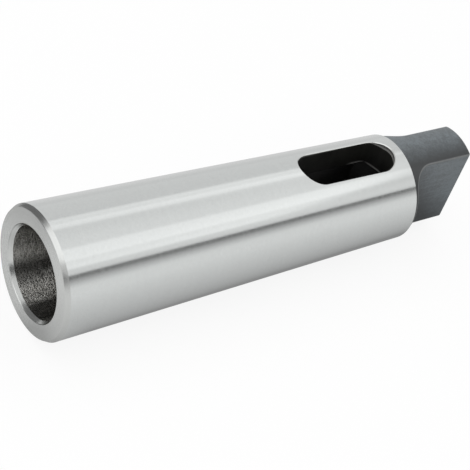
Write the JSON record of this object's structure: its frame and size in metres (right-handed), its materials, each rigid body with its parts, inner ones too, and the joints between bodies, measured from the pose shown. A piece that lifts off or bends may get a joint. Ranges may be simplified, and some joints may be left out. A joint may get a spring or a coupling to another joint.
{
  "type": "morse taper sleeve",
  "caption": "Steel reducing sleeve: a large self-holding taper outside, a smaller taper socket inside, a drift slot through the body and a flatted tang at the end.",
  "frame": {"origin": "centre of the mouth face, where the inner taper opens, on the sleeve's axis", "axes": "+X along the axis from the mouth face to the tang; +Z along the drift slot, up; the tang's two flats face +Y and -Y"},
  "size_m": [0.171, 0.0454, 0.0454],
  "materials": {
    "hardened_steel": "fine ground taper and bore, turned mouth face, black oxide on the tang"
  },
  "bodies": {
    "root": {"taper_sleeve": "hardened_steel"}
  },
  "joints": []
}
